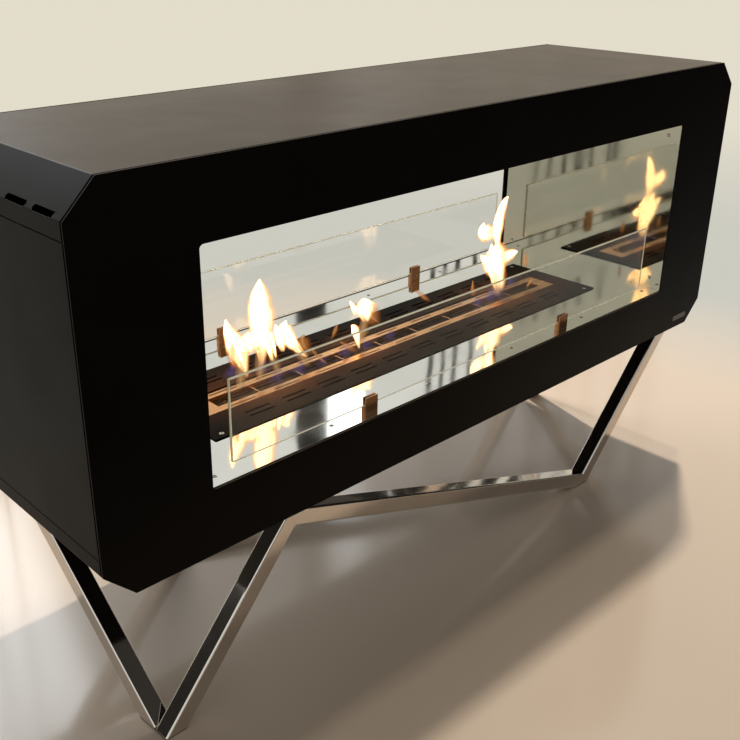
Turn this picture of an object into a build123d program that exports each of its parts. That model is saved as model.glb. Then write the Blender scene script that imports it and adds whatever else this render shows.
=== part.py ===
"""Free-standing, see-through bioethanol fireplace on a zigzag stand of square tube.

Frame: origin on the floor below the middle of the casing, X along the length,
the front faces -Y, +Z up. Sizes in millimetres.
"""
import os
from math import sqrt

from build123d import *

# --- Casing ---------------------------------------------------------------
case_length = 1400.0
case_depth = 400.0
case_height = 520.0
chamfer_face = 60.0  # width of each 45 degree face
case_sheet = 2.0
bend_radius = 1.0  # inside radius of every fold
lip_height = 21.0  # upright edge of a cover beyond its fold
seam_gap = 2.0  # dark line between a cover and a side panel
panel_return = 12.0  # folded edge along the top and bottom of a side panel
panel_return_gap = 1.0  # from a folded edge to the frame's flange

fascia_sheet = 2.0
shadow_gap = 3.0  # the fascia stands this far off the casing
window_side_margin = 164.0
window_top_margin = 100.0
window_bottom_margin = 96.0
window_corner_radius = 6.0

blank_plate_length = 48.0
blank_plate_height = 10.0
blank_plate_sheet = 0.5
blank_plate_corner_radius = 1.2
blank_plate_gap = 0.1  # all round the plate in its recess
blank_plate_inset = 69.5  # from the casing's right end to the plate's middle
blank_plate_rise = 20.0  # from the casing's underside to the plate's middle

frame_sheet = 2.0
frame_edge_depth = 20.0  # flange under the covers and panels
frame_window_depth = 42.0  # flange that the firebox sheets are screwed to

vent_length = 47.0
vent_width = 8.0
vent_corner_cut = 2.5
vent_pitch = 62.5
vent_count = 6
vent_fold_gap = 0.5  # from the lower fold to the slot

# --- Stand ----------------------------------------------------------------
stand_tube = 28.0
stand_wall = 2.0
tube_corner_radius = 3.0
stand_height = 274.0
stand_setback = 15.5  # from the casing's front to the tubes' front faces
pointed_foot_inset = 90.0  # from the casing's end to a centre-line, at the floor
pointed_top_inset = 307.0
blunt_foot_inset = 335.0
blunt_foot_cut = 7.0  # height taken off the corner where the floor cuts it
blunt_top_inset = 98.0  # at the seat plates
cross_foot_inset = 85.5  # from the casing's end to a cross leg's centre-line, at the floor
cross_top_inset = 73.5  # the same at the seat plates
cross_foot_reach = 14.5  # from a zigzag's inner face to the centre-line, at the floor
cutting_allowance = 84.0  # spare length at each end of a bar before it is cut
foot_pad_thickness = 2.0
foot_pad_inset = 1.0  # the pad's edge stands back from the tube's faces

seat_plate_thickness = 3.0
seat_plate_length = 64.0
seat_plate_width = 62.0
seat_bolt_inset = 14.0  # from the plate's inner edge
blunt_bolt_shift = 22.0  # towards the casing's middle, clear of the cross leg

# --- Firebox --------------------------------------------------------------
firebox_sheet = 2.0
firebox_reveal = 7.0  # walls and ceiling stand back this far behind the window's edge

# --- Burner ---------------------------------------------------------------
cover_plate_length = 916.0
cover_plate_width = 197.0
cover_plate_sheet = 2.0
cover_plate_corner_radius = 2.0
cover_screw_end_inset = 18.0
cover_screw_side_inset = 10.5
air_slot_length = 46.5
air_slot_width = 4.5
air_slot_pitch = 71.0
air_slot_count = 11
air_slot_inner_y = 59.0
air_slot_outer_y = 71.5
plate_opening_length = 850.0
plate_opening_width = 65.0

housing_sheet = 1.5
housing_depth = 72.0  # from the firebox floor's underside down to the tray
housing_flange = 16.0
housing_side_gap = 8.0  # from the outer air slots to the tray's wall

burner_clearance = 2.0  # round the burner in the cover plate's opening
deck_drop = 2.0  # the deck lies this far below the cover plate's top
deck_sheet = 2.0
tank_sheet = 1.5
trough_length = 784.0
trough_width = 30.0
trough_depth = 30.0
deck_slot_length = 51.0
deck_slot_width = 3.0
deck_slot_pitch = 89.0
deck_slot_count = 9
fuel_slot_length = 60.0
fuel_slot_width = 8.0
wool_drop = 10.0  # from the deck's top to the wool
tie_width = 2.0  # square wire across the trough
tie_drop = 3.0  # from the deck's top to the ties

# --- Glass and clips ------------------------------------------------------
glass_length = 980.0
glass_height = 120.0
glass_thickness = 5.0
glass_edge_chamfer = 0.5
glass_setback = 19.0  # from the casing's front to the pane
glass_clearance = 0.25  # on each face of the pane, between the clip's plates
clip_spacing = 476.0
clip_width = 24.0
clip_height = 26.5
clip_plate = 2.0
clip_block_height = 13.5
clip_block_overhang = 1.0  # the block is wider than the plates at each end

# --- Fasteners ------------------------------------------------------------
screw_head_radius = 3.6
screw_core_radius = 2.0
screw_head_height = 1.6
spacer_length = 120.0
spacer_width = 20.0
spacer_spacing = 600.0  # between the bars of one row
bolt_radius = 4.0
bolt_clearance = 0.25
thread_clearance = 0.05
bolt_length = 14.0
bolt_head_width = 13.0
bolt_head_height = 5.3
nut_height = 6.5

# --- Derived places -------------------------------------------------------
case_chamfer = chamfer_face / sqrt(2)
case_bottom = stand_height
case_top = case_bottom + case_height
case_middle = case_bottom + case_height / 2
front_y = -case_depth / 2
body_y = front_y + fascia_sheet + shadow_gap  # front plane of the casing proper
body_depth = -2 * body_y
window_length = case_length - 2 * window_side_margin
window_bottom = case_bottom + window_bottom_margin
window_top = case_top - window_top_margin
cover_height = case_chamfer + lip_height
panel_height = case_height - 2 * (cover_height + seam_gap)

floor_top = window_bottom
ceiling_bottom = window_top + firebox_reveal
wall_x = window_length / 2 + firebox_reveal
floor_bottom = floor_top - firebox_sheet
ceiling_top = ceiling_bottom + firebox_sheet
shell_x = wall_x + firebox_sheet
flange_bottom = floor_bottom - frame_sheet
flange_top = ceiling_top + frame_sheet
flange_x = shell_x + frame_sheet

plate_top = floor_top + cover_plate_sheet
deck_top = plate_top - deck_drop
burner_length = plate_opening_length - 2 * burner_clearance
burner_width = plate_opening_width - 2 * burner_clearance
tray_x = cover_plate_length / 2 - cover_screw_end_inset - housing_flange / 2
tray_y = air_slot_outer_y + air_slot_width / 2 + housing_side_gap
tray_bottom = floor_bottom - housing_depth
cover_screw_x = cover_plate_length / 2 - cover_screw_end_inset
cover_screw_y = cover_plate_width / 2 - cover_screw_side_inset

glass_y = front_y + glass_setback + glass_thickness / 2
glass_bottom = floor_top + clip_block_height
block_depth = glass_thickness + 2 * glass_clearance

end_x = case_length / 2
outer_y = front_y + stand_setback  # outer, middle and inner planes of the front zigzag
tube_y = outer_y + stand_tube / 2
inner_y = outer_y + stand_tube
seat_z = case_bottom - seat_plate_thickness
pointed_foot = Vector(pointed_foot_inset - end_x, tube_y, 0)
pointed_top = Vector(pointed_top_inset - end_x, tube_y, seat_z - stand_tube / 2)
blunt_foot = Vector(end_x - blunt_foot_inset, tube_y, stand_tube / 2 - blunt_foot_cut)
blunt_top = Vector(end_x - blunt_top_inset, tube_y, seat_z)
cross_foot = Vector(cross_foot_inset - end_x, inner_y + cross_foot_reach, 0)
cross_top = Vector(cross_top_inset - end_x, -inner_y, seat_z)

seat_y = outer_y + seat_plate_width / 2
bolt_y = outer_y + seat_plate_width - seat_bolt_inset
pointed_seat = Vector(pointed_top.X, seat_y)
blunt_seat = Vector((blunt_top.X - cross_top.X) / 2, seat_y)  # shared with a cross leg
pointed_bolt = Vector(pointed_seat.X, bolt_y)
blunt_bolt = Vector(blunt_seat.X - blunt_bolt_shift, bolt_y)

spacer_top_z = (flange_top + case_top) / 2
spacer_bottom_z = (flange_bottom + case_bottom) / 2
spacer_end_x = (flange_x + end_x) / 2

os.makedirs("parts", exist_ok=True)


def save(piece, label):
    """Label a finished piece and write it as its own file."""
    piece.label = label
    export_step(piece, f"parts/{label}.step")


def front_plane(y, z=case_middle):
    """Upright plane across the casing at depth y, facing the front."""
    return Plane(origin=(0, y, z), x_dir=(1, 0, 0), z_dir=(0, -1, 0))


def casing_outline(inset, fold_radius=0.0):
    """Octagonal section of the casing, drawn inset from its outer faces."""
    with BuildSketch(mode=Mode.PRIVATE) as outline:
        Rectangle(case_length, case_height)
        chamfer(outline.vertices(), length=case_chamfer)
        if inset > 0:
            offset(amount=-inset, kind=Kind.INTERSECTION, mode=Mode.REPLACE)
        if fold_radius > 0:
            fillet(outline.vertices(), radius=fold_radius)
    return outline.sketch


def upright_rectangle(half_length, low, high, corner_radius=0.0):
    """Rectangle in the casing's section, between two heights."""
    with BuildSketch(mode=Mode.PRIVATE) as shape:
        with Locations((0, (low + high) / 2 - case_middle)):
            Rectangle(2 * half_length, high - low)
        if corner_radius > 0:
            fillet(shape.vertices(), radius=corner_radius)
    return shape.sketch


def mirrored_to_rear(piece, label):
    """Write the rear twin of a front piece."""
    with BuildPart() as twin:
        mirror(piece, about=Plane.XZ)
    save(twin.part, label)


def opposite(point):
    """The same point after half a turn about the upright axis."""
    return Vector(-point.X, -point.Y, point.Z)


seats = [pointed_seat, blunt_seat, opposite(pointed_seat), opposite(blunt_seat)]
bolts = [pointed_bolt, blunt_bolt, opposite(pointed_bolt), opposite(blunt_bolt)]


# --- Covers and side panels -----------------------------------------------
def cover_section(low, high):
    """Folded sheet of the casing between two heights."""
    with BuildSketch(mode=Mode.PRIVATE) as section:
        add(casing_outline(0, bend_radius + case_sheet))
        add(casing_outline(case_sheet, bend_radius), mode=Mode.SUBTRACT)
        add(upright_rectangle(end_x, low, high), mode=Mode.INTERSECT)
    return section.sketch


def vent_plane(side):
    """Plane on a top chamfer, centred on its row of vents; side is -1 or +1."""
    along_face = vent_fold_gap + vent_width / 2
    shift = along_face / sqrt(2)
    origin = (side * (end_x - shift), 0, case_top - case_chamfer + shift)
    return Plane(origin=origin, x_dir=(0, 1, 0), z_dir=(side, 0, 1))


with BuildPart() as top_cover:
    with BuildSketch(front_plane(-body_y)):
        add(cover_section(case_top - cover_height, case_top))
    extrude(amount=body_depth)
    for side in (-1, 1):
        with BuildSketch(vent_plane(side)) as vents:
            with GridLocations(vent_pitch, 0, vent_count, 1):
                Rectangle(vent_length, vent_width)
            chamfer(vents.vertices(), length=vent_corner_cut)
        extrude(amount=2 * case_sheet, both=True, mode=Mode.SUBTRACT)
save(top_cover.part, "top_cover")


with BuildPart() as bottom_cover:
    with BuildSketch(front_plane(-body_y)):
        add(cover_section(case_bottom, case_bottom + cover_height))
    extrude(amount=body_depth)
    with BuildSketch(Plane.XY.offset(case_bottom)):
        with Locations(*bolts):
            Circle(bolt_radius + bolt_clearance)
    extrude(amount=case_sheet, mode=Mode.SUBTRACT)
save(bottom_cover.part, "bottom_cover")

panel_return_depth = body_depth - 2 * (frame_sheet + frame_edge_depth + panel_return_gap)
with BuildPart() as left_side_panel:
    with BuildSketch(front_plane(-body_y)):
        with Locations(((case_sheet - case_length) / 2, 0)):
            Rectangle(case_sheet, panel_height)
    extrude(amount=body_depth)
    with BuildSketch(front_plane(panel_return_depth / 2)):
        with Locations(((panel_return - case_length) / 2, 0)):
            Rectangle(panel_return, panel_height)
            Rectangle(panel_return, panel_height - 2 * case_sheet, mode=Mode.SUBTRACT)
    extrude(amount=panel_return_depth)
save(left_side_panel.part, "left_side_panel")

with BuildPart() as right_side_panel:
    mirror(left_side_panel.part, about=Plane.YZ)
save(right_side_panel.part, "right_side_panel")


# --- Fascias, frames and the spacers between them --------------------------
with BuildPart() as plain_fascia:
    with BuildSketch(front_plane(front_y + fascia_sheet)):
        add(casing_outline(0))
        add(
            upright_rectangle(window_length / 2, window_bottom, window_top, window_corner_radius),
            mode=Mode.SUBTRACT,
        )
    extrude(amount=fascia_sheet)
mirrored_to_rear(plain_fascia.part, "rear_fascia")


def blank_plate_outline(gap):
    """Outline of the blank plate, or with a gap round it the outline of its recess."""
    with BuildSketch(mode=Mode.PRIVATE) as outline:
        with Locations((end_x - blank_plate_inset, 0)):
            RectangleRounded(
                blank_plate_length + 2 * gap,
                blank_plate_height + 2 * gap,
                blank_plate_corner_radius + gap,
            )
    return outline.sketch


recess_floor = front_plane(front_y + blank_plate_sheet, case_bottom + blank_plate_rise)
with BuildPart() as front_fascia:
    add(plain_fascia.part)
    with BuildSketch(recess_floor):
        add(blank_plate_outline(blank_plate_gap))
    extrude(amount=blank_plate_sheet, mode=Mode.SUBTRACT)
save(front_fascia.part, "front_fascia")

with BuildPart() as blank_plate:
    with BuildSketch(recess_floor):
        add(blank_plate_outline(0))
    extrude(amount=blank_plate_sheet)
save(blank_plate.part, "blank_plate")

with BuildPart() as front_frame:
    with BuildSketch(front_plane(body_y)):
        add(casing_outline(case_sheet, bend_radius + frame_sheet))
        add(upright_rectangle(shell_x, floor_bottom, ceiling_top), mode=Mode.SUBTRACT)
    extrude(amount=-frame_sheet)
    with BuildSketch(front_plane(body_y + frame_sheet)):
        add(casing_outline(case_sheet, bend_radius + frame_sheet))
        add(casing_outline(case_sheet + frame_sheet, bend_radius), mode=Mode.SUBTRACT)
    extrude(amount=-frame_edge_depth)
    with BuildSketch(front_plane(body_y + frame_sheet)):
        add(upright_rectangle(flange_x, flange_bottom, flange_top))
        add(upright_rectangle(shell_x, floor_bottom, ceiling_top), mode=Mode.SUBTRACT)
    extrude(amount=-frame_window_depth)
save(front_frame.part, "front_frame")
mirrored_to_rear(front_frame.part, "rear_frame")

with BuildPart() as front_fascia_spacers:
    with BuildSketch(front_plane(body_y, z=0)):
        for row_z in (spacer_bottom_z, spacer_top_z):
            with Locations((0, row_z)):
                with GridLocations(spacer_spacing, 0, 2, 1):
                    Rectangle(spacer_length, spacer_width)
        with Locations((0, case_middle)):
            with GridLocations(2 * spacer_end_x, 0, 2, 1):
                Rectangle(spacer_width, spacer_length)
    extrude(amount=shadow_gap)
save(front_fascia_spacers.part, "front_fascia_spacers")
mirrored_to_rear(front_fascia_spacers.part, "rear_fascia_spacers")


# --- Firebox --------------------------------------------------------------
with BuildPart() as firebox_floor:
    with BuildSketch(Plane.XY.offset(floor_bottom)):
        Rectangle(2 * shell_x, body_depth)
        Rectangle(2 * tray_x, 2 * tray_y, mode=Mode.SUBTRACT)
    extrude(amount=firebox_sheet)
save(firebox_floor.part, "firebox_floor")

with BuildPart() as firebox_ceiling:
    with BuildSketch(Plane.XY.offset(ceiling_bottom)):
        Rectangle(2 * shell_x, body_depth)
    extrude(amount=firebox_sheet)
save(firebox_ceiling.part, "firebox_ceiling")

with BuildPart() as firebox_left_wall:
    with BuildSketch(Plane.YZ.offset(-shell_x)):
        with Locations((0, (floor_top + ceiling_bottom) / 2)):
            Rectangle(body_depth, ceiling_bottom - floor_top)
    extrude(amount=firebox_sheet)
save(firebox_left_wall.part, "firebox_left_wall")

with BuildPart() as firebox_right_wall:
    mirror(firebox_left_wall.part, about=Plane.YZ)
save(firebox_right_wall.part, "firebox_right_wall")

# --- Burner ---------------------------------------------------------------
def cover_screw_grid():
    """Places of the screws at the burner cover plate's corners."""
    return GridLocations(2 * cover_screw_x, 2 * cover_screw_y, 2, 2)


def countersunk_head():
    """Head of a countersunk screw, its top at the origin; also the shape of its seat."""
    with BuildPart(mode=Mode.PRIVATE) as head:
        with BuildSketch(Plane.XZ):
            with BuildLine():
                Polyline(
                    (0, 0),
                    (screw_head_radius, 0),
                    (screw_core_radius, -screw_head_height),
                    (0, -screw_head_height),
                    close=True,
                )
            make_face()
        revolve(axis=Axis.Z)
    return head.part


with BuildPart() as burner_cover_plate:
    with BuildSketch(Plane.XY.offset(floor_top)):
        RectangleRounded(cover_plate_length, cover_plate_width, cover_plate_corner_radius)
        Rectangle(plate_opening_length, plate_opening_width, mode=Mode.SUBTRACT)
        for slot_y in (air_slot_inner_y, air_slot_outer_y):
            with GridLocations(air_slot_pitch, 2 * slot_y, air_slot_count, 2):
                Rectangle(air_slot_length, air_slot_width, mode=Mode.SUBTRACT)
    extrude(amount=cover_plate_sheet)
    with Locations((0, 0, plate_top)):
        with cover_screw_grid():
            add(countersunk_head(), mode=Mode.SUBTRACT)
save(burner_cover_plate.part, "burner_cover_plate")

with BuildPart() as cover_plate_screws:
    with Locations((0, 0, plate_top)):
        with cover_screw_grid():
            add(countersunk_head())
save(cover_plate_screws.part, "cover_plate_screws")

with BuildPart() as burner_housing:
    with BuildSketch(Plane.XY.offset(floor_bottom)):
        Rectangle(2 * (tray_x + housing_flange), 2 * (tray_y + housing_flange))
    extrude(amount=-housing_sheet)
    with BuildSketch(Plane.XY.offset(floor_bottom)):
        Rectangle(2 * tray_x, 2 * tray_y)
    extrude(amount=-housing_depth)
    with BuildSketch(Plane.XY.offset(floor_bottom)):
        Rectangle(2 * (tray_x - housing_sheet), 2 * (tray_y - housing_sheet))
    extrude(amount=housing_sheet - housing_depth, mode=Mode.SUBTRACT)
save(burner_housing.part, "burner_housing")

tank_bottom = tray_bottom + housing_sheet
tank_top = deck_top - deck_sheet
with BuildPart() as fuel_tank:
    with BuildSketch(Plane.XY.offset(tank_bottom)):
        Rectangle(burner_length, burner_width)
    extrude(amount=tank_top - tank_bottom)
    with BuildSketch(Plane.XY.offset(tank_bottom + tank_sheet)):
        Rectangle(burner_length - 2 * tank_sheet, burner_width - 2 * tank_sheet)
    extrude(amount=tank_top - tank_bottom - tank_sheet, mode=Mode.SUBTRACT)
save(fuel_tank.part, "fuel_tank")

trough_bottom = deck_top - trough_depth
rail_y = (burner_width / 2 + trough_width / 2 + deck_sheet) / 2
with BuildPart() as burner_deck:
    with BuildSketch(Plane.XY.offset(tank_top)):
        Rectangle(burner_length, burner_width)
        with GridLocations(deck_slot_pitch, 2 * rail_y, deck_slot_count, 2):
            Rectangle(deck_slot_length, deck_slot_width, mode=Mode.SUBTRACT)
    extrude(amount=deck_sheet)
    with BuildSketch(Plane.XY.offset(trough_bottom)):
        Rectangle(trough_length + 2 * deck_sheet, trough_width + 2 * deck_sheet)
    extrude(amount=tank_top - trough_bottom)
    with BuildSketch(Plane.XY.offset(deck_top)):
        Rectangle(trough_length, trough_width)
    extrude(amount=deck_sheet - trough_depth, mode=Mode.SUBTRACT)
    with BuildSketch(Plane.XY.offset(trough_bottom)):
        with GridLocations(deck_slot_pitch, 0, deck_slot_count - 1, 1):
            Rectangle(fuel_slot_length, fuel_slot_width)
    extrude(amount=deck_sheet, mode=Mode.SUBTRACT)
save(burner_deck.part, "burner_deck")

with BuildPart() as ceramic_wool:
    with BuildSketch(Plane.XY.offset(trough_bottom + deck_sheet)):
        Rectangle(trough_length, trough_width)
    extrude(amount=trough_depth - deck_sheet - wool_drop)
save(ceramic_wool.part, "ceramic_wool")

with BuildPart() as cross_ties:
    with BuildSketch(Plane.XY.offset(deck_top - tie_drop)):
        with GridLocations(deck_slot_pitch, 0, deck_slot_count - 1, 1):
            Rectangle(tie_width, trough_width)
    extrude(amount=-tie_width)
save(cross_ties.part, "cross_ties")


# --- Glass and its clips --------------------------------------------------
with BuildPart() as front_glass:
    with BuildSketch(front_plane(glass_y + glass_thickness / 2, glass_bottom + glass_height / 2)):
        Rectangle(glass_length, glass_height)
    extrude(amount=glass_thickness)
    chamfer(front_glass.edges(), length=glass_edge_chamfer)
save(front_glass.part, "front_glass")
mirrored_to_rear(front_glass.part, "rear_glass")


def clip_grid():
    """Places of the two clips along one pane."""
    return GridLocations(clip_spacing, 0, 2, 1)


outer_plate_y = glass_y - block_depth / 2
inner_plate_y = glass_y + block_depth / 2
with BuildPart() as front_clip_outer_plates:
    with BuildSketch(front_plane(outer_plate_y, floor_top + clip_height / 2)):
        with clip_grid():
            Rectangle(clip_width, clip_height)
    extrude(amount=clip_plate)
save(front_clip_outer_plates.part, "front_clip_outer_plates")
mirrored_to_rear(front_clip_outer_plates.part, "rear_clip_outer_plates")

with BuildPart() as front_clip_inner_plates:
    with BuildSketch(front_plane(inner_plate_y, floor_top + clip_height / 2)):
        with clip_grid():
            Rectangle(clip_width, clip_height)
    extrude(amount=-clip_plate)
save(front_clip_inner_plates.part, "front_clip_inner_plates")
mirrored_to_rear(front_clip_inner_plates.part, "rear_clip_inner_plates")

with BuildPart() as front_clip_blocks:
    with BuildSketch(front_plane(inner_plate_y, floor_top + clip_block_height / 2)):
        with clip_grid():
            Rectangle(clip_width + 2 * clip_block_overhang, clip_block_height)
    extrude(amount=block_depth)
save(front_clip_blocks.part, "front_clip_blocks")
mirrored_to_rear(front_clip_blocks.part, "rear_clip_blocks")


# --- Stand ----------------------------------------------------------------
# Two equal zigzags of three mitred tubes stand behind the front and the rear face. At each
# end a cross leg rises from behind one zigzag's pointed foot to the other zigzag's seat.
def corner_cut(before, corner, after):
    """Plane that halves a zigzag's corner, facing along its tubes."""
    arriving = (corner - before).normalized()
    leaving = (after - corner).normalized()
    return Plane(origin=corner, z_dir=arriving + leaving)


def cut_bar(start, finish, cuts, section):
    """Bar along a centre-line, cut by planes that face what stays, by floor and by seats."""
    along = (finish - start).normalized()
    sideways = along.cross(Vector(0, 0, 1))
    base = start - along * cutting_allowance
    with BuildPart(mode=Mode.PRIVATE) as bar:
        with BuildSketch(Plane(origin=base, x_dir=sideways, z_dir=along)):
            add(section)
        extrude(amount=(finish - start).length + 2 * cutting_allowance)
        for cut in cuts:
            split(bisect_by=cut, keep=Keep.TOP)
        split(bisect_by=Plane.XY, keep=Keep.TOP)
        split(bisect_by=Plane.XY.offset(seat_z), keep=Keep.BOTTOM)
    return bar.part


top_cut = corner_cut(pointed_foot, pointed_top, blunt_foot)
foot_cut = corner_cut(pointed_top, blunt_foot, blunt_top)
half_turn = (0, 0, 180)
front_inner_face = Plane(origin=(0, inner_y, 0), z_dir=(0, 1, 0))
rear_inner_face = Plane(origin=(0, -inner_y, 0), z_dir=(0, -1, 0))
members = [
    ("front_left_leg", "rear_right_leg", pointed_foot, pointed_top, [-top_cut]),
    ("front_long_brace", "rear_long_brace", pointed_top, blunt_foot, [top_cut, -foot_cut]),
    ("front_right_leg", "rear_left_leg", blunt_foot, blunt_top, [foot_cut]),
    ("left_cross_leg", "right_cross_leg", cross_foot, cross_top, [front_inner_face, rear_inner_face]),
]

with BuildSketch() as tube_section:
    RectangleRounded(stand_tube, stand_tube, tube_corner_radius)
    Rectangle(stand_tube - 2 * stand_wall, stand_tube - 2 * stand_wall, mode=Mode.SUBTRACT)

with BuildSketch() as pad_section:
    Rectangle(stand_tube - 2 * foot_pad_inset, stand_tube - 2 * foot_pad_inset)

for front_name, turned_name, start, finish, cuts in members:
    with BuildPart() as member:
        add(cut_bar(start, finish, cuts, tube_section.sketch))
        split(bisect_by=Plane.XY.offset(foot_pad_thickness), keep=Keep.TOP)
    save(member.part, front_name)
    with BuildPart() as twin:
        add(member.part, rotation=half_turn)
    save(twin.part, turned_name)

with BuildPart() as foot_pads:
    for front_name, turned_name, start, finish, cuts in members:
        pad_bar = cut_bar(start, finish, cuts, pad_section.sketch)
        add(pad_bar)
        add(pad_bar, rotation=half_turn)
    split(bisect_by=Plane.XY.offset(foot_pad_thickness), keep=Keep.BOTTOM)
save(foot_pads.part, "foot_pads")

with BuildPart() as seat_plates:
    with BuildSketch(Plane.XY.offset(seat_z)):
        with Locations(*seats):
            Rectangle(seat_plate_length, seat_plate_width)
        with Locations(*bolts):
            Circle(bolt_radius + bolt_clearance, mode=Mode.SUBTRACT)
    extrude(amount=seat_plate_thickness)
save(seat_plates.part, "seat_plates")

with BuildPart() as seat_bolts:
    with BuildSketch(Plane.XY.offset(seat_z)):
        with Locations(*bolts):
            RegularPolygon(bolt_head_width / 2, 6, major_radius=False)
    extrude(amount=-bolt_head_height)
    with BuildSketch(Plane.XY.offset(seat_z)):
        with Locations(*bolts):
            Circle(bolt_radius)
    extrude(amount=bolt_length)
save(seat_bolts.part, "seat_bolts")

with BuildPart() as seat_nuts:
    with BuildSketch(Plane.XY.offset(case_bottom + case_sheet)):
        with Locations(*bolts):
            RegularPolygon(bolt_head_width / 2, 6, major_radius=False)
            Circle(bolt_radius + thread_clearance, mode=Mode.SUBTRACT)
    extrude(amount=nut_height)
save(seat_nuts.part, "seat_nuts")
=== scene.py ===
"""Looks of a free-standing, see-through bioethanol fireplace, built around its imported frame.

Every length is in metres, in the frame's own axes: origin on the floor below the middle
of the casing, X along its length, the front faces -Y, +Z up.
"""

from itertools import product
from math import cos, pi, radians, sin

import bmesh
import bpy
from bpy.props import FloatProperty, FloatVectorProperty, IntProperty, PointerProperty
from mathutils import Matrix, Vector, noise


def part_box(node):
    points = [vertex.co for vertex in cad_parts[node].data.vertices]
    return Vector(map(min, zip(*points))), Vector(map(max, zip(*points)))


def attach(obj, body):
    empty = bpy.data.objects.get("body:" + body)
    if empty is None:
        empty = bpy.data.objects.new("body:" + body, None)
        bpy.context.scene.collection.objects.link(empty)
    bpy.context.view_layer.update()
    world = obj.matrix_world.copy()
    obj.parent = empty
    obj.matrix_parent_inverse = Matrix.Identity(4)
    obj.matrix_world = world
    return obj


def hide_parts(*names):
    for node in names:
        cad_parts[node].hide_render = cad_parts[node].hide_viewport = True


bl_info = {
    "name": "Bioethanol Fireplace Looks",
    "version": (1, 0, 0),
    "blender": (4, 5, 0),
    "location": "3D View > Sidebar > Fireplace",
    "description": "Finishes, fittings and flames of a see-through bioethanol fireplace",
    "category": "Add Mesh",
}

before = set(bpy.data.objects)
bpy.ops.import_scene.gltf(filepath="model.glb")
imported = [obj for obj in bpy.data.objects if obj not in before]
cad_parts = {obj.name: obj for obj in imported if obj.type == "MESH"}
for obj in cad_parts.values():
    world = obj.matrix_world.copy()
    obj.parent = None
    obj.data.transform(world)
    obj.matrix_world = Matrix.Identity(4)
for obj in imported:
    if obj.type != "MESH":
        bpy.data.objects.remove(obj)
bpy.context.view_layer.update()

BODY = "fireplace"
BURNER = "burner"
UP = Vector((0, 0, 1))
MILLIMETRE = 0.001
SHARP_ANGLE = radians(40)  # smooth faces that meet at more than this keep a crisp edge
SCREW_SEGMENTS = 24
SOCKET_SHARE = 0.5  # a hexagonal socket's radius over its head's
ROUND_HEAD = ((1.0, 0.0), (1.0, 0.35), (0.86, 0.82), (0.66, 1.0))  # widths and heights, as shares
SOCKET_FLOOR = 0.15  # height of a round head's socket floor, over the head's
LOW_HEAD = 0.0007  # height of the firebox's screw heads
CLIP_HEAD = 0.0014
SUNK_SOCKET = 0.7  # depth of a countersunk head's socket, over the head's
WOOL_COLUMNS = 18
WOOL_SINK = 0.0014  # the wool's middle lies this far below its space's top
WOOL_ROLL = 0.0012  # and its long edges this much lower
WOOL_SHOULDER = 4.0  # its top is level from its width over this inwards
WOOL_TUFT = 0.0013  # height of its tufts
TUFTS_ALONG, TUFTS_ACROSS = 60, 90  # in a metre
TUFT_NOISE = (0.9, 2.1, 5)  # how fast finer tufts fade, how much finer each is, how many
GROUND_MARGIN = 0.0008  # from each face of a pane to its ground edge
GROUND_INSETS = (0.0003, 0.0010)  # from a pane's outline to its ground edge's two sides


# --- Sizes and colours that a user would change ---
def colour(name, value, description):
    """A colour property."""
    return FloatVectorProperty(
        name=name, description=description, default=value, size=3, subtype="COLOR", min=0, max=1
    )


def number(name, value, description, **limits):
    """A number from nought up."""
    return FloatProperty(name=name, description=description, default=value, min=0, **limits)


def length(name, value, description):
    """A length property, in metres."""
    return number(name, value, description, unit="LENGTH", precision=4)


def share(name, value, description):
    """A factor from nought to one."""
    return number(name, value, description, subtype="FACTOR", max=1)


class FireplaceFinish(bpy.types.PropertyGroup):
    """Colours and gloss of the fireplace's own surfaces."""

    coat: colour("Powder coat", (0.0030, 0.0024, 0.0019), "Matt black coat of the casing")
    coat_roughness: share("Coat roughness", 0.40, "Gloss of the powder coat")
    plate: colour("Burner plate", (0.0050, 0.0042, 0.0036), "Black coat of the burner's cover plate")
    sheet: colour("Firebox steel", (0.70, 0.69, 0.64), "Polished sheet of the firebox's floor")
    # Painted shade: the same polished sheet as the floor, made darker and yellower.
    shaded_wall_sheet: colour("Wall steel", (0.47, 0.45, 0.36), "Polished sheet of the end walls and ceiling")
    sheet_roughness: share("Sheet polish", 0.035, "Roughness of the polished sheet")
    # Painted firelight: the clips' orange-brown tint stands for the flames' light on them.
    clip: colour("Clip steel", (0.52, 0.26, 0.12), "Firelit steel of the glass clips")
    tube: colour("Stand steel", (0.66, 0.62, 0.58), "Polished tube of the stand")
    tube_roughness: share("Tube polish", 0.055, "Roughness of the polished tube")
    satin: colour("Burner steel", (0.44, 0.37, 0.29), "Satin sheet of the burner")
    # Painted glow: the edges' pale yellow stands for light coming out of the glass.
    glass_edge: colour("Glass edge", (0.97, 0.94, 0.78), "Tint that shows along the panes' edges")
    wool: colour("Wool", (0.020, 0.021, 0.028), "Sooted ceramic wool")


class FireplaceFittings(bpy.types.PropertyGroup):
    """Small fasteners."""

    floor_screw_pitch: length("Floor screw pitch", 0.206, "Distance between the floor's screws")
    floor_screw_count: IntProperty(
        name="Floor screws", description="Screws along each edge of the floor", default=6, min=2
    )
    floor_screw_setback: length("Floor screw setback", 0.027, "From the casing's front to a row")
    wall_screw_setback: length("Wall screw setback", 0.030, "From the casing's front to a screw")
    wall_screw_rise: length("Wall screw rise", 0.0215, "From the floor to the lower screws")
    wall_screw_drop: length("Wall screw drop", 0.031, "From the ceiling to the upper screws")
    screw_radius: length("Screw head radius", 0.0036, "Countersunk screws of the firebox")
    clip_width: length("Clip width", 0.024, "Width of a glass clip's plates")
    clip_screw_radius: length("Clip screw radius", 0.0024, "Small screws of the glass clips")
    clip_screw_spacing: length("Clip screw spacing", 0.010, "Between a clip's two screws")
    clip_screw_rise: length("Clip screw rise", 0.008, "From the floor to a clip's screws")


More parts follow.
